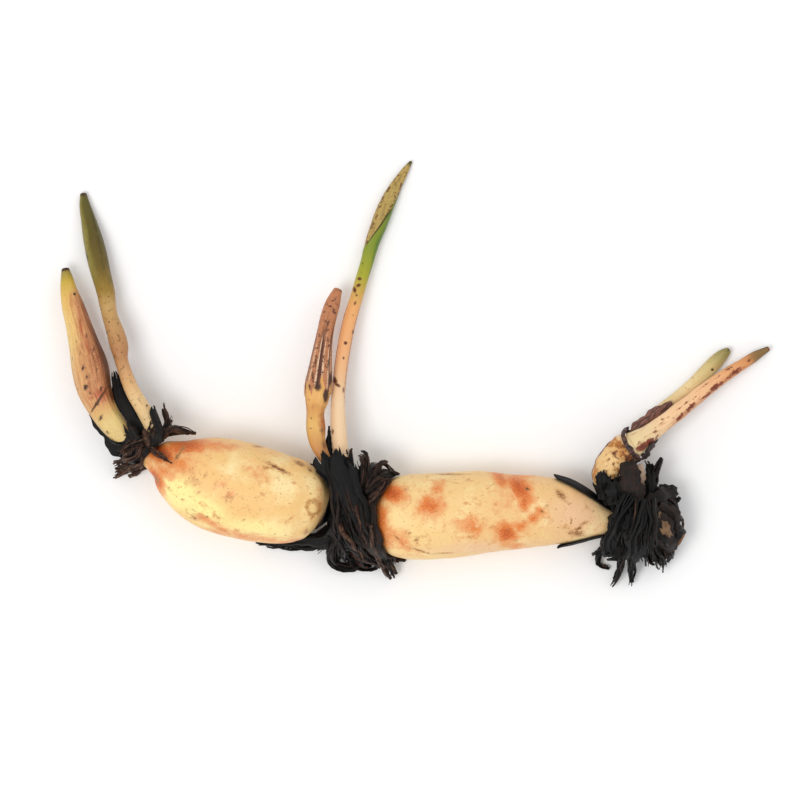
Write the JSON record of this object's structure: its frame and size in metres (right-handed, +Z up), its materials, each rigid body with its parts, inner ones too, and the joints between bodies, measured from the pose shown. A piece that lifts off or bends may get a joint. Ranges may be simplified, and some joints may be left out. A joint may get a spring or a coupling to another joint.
{
  "type": "lotus rhizome",
  "caption": "Lotus rhizome lying down: fat cream internodes joined at dark rooted nodes, with buds and rolled leaf shoots, for ponds, planting and kitchen scenes.",
  "frame": {"origin": "on the surface the rhizome lies on, under the middle of the whole plant's box", "axes": "+X along the rhizome from its growing head to its broken end, +Y towards the tips of the leaf shoots, +Z up off the surface"},
  "size_m": [0.2846, 0.1709, 0.0358],
  "materials": {
    "rhizome_skin": "smooth, faintly waxy plant skin, cream with rust stains",
    "bud_skin": "satin sheath of a young bud, straw yellow with brown streaks",
    "brown_bud_skin": "dull withered sheath, brown with raised ribs",
    "leaf_skin": "satin rolled leaf on a pale stalk, olive to bright green",
    "stalk_skin": "satin stalk, peach with brown blotches",
    "dry_scale": "dull papery scale leaf, dark red-brown",
    "black_roots": "matt matted roots and scale leaves, near black"
  },
  "bodies": {
    "root": {"rhizome": "rhizome_skin", "terminal_bud": "bud_skin", "head_leaf": "leaf_skin", "middle_bud": "brown_bud_skin", "middle_leaf": "leaf_skin", "side_runner": "bud_skin", "side_bud": "stalk_skin", "side_leaf": "leaf_skin", "side_sheath": "dry_scale", "old_stalk": "stalk_skin", "head_tuft": "black_roots", "middle_tuft": "black_roots", "end_tuft": "black_roots"}
  },
  "joints": []
}
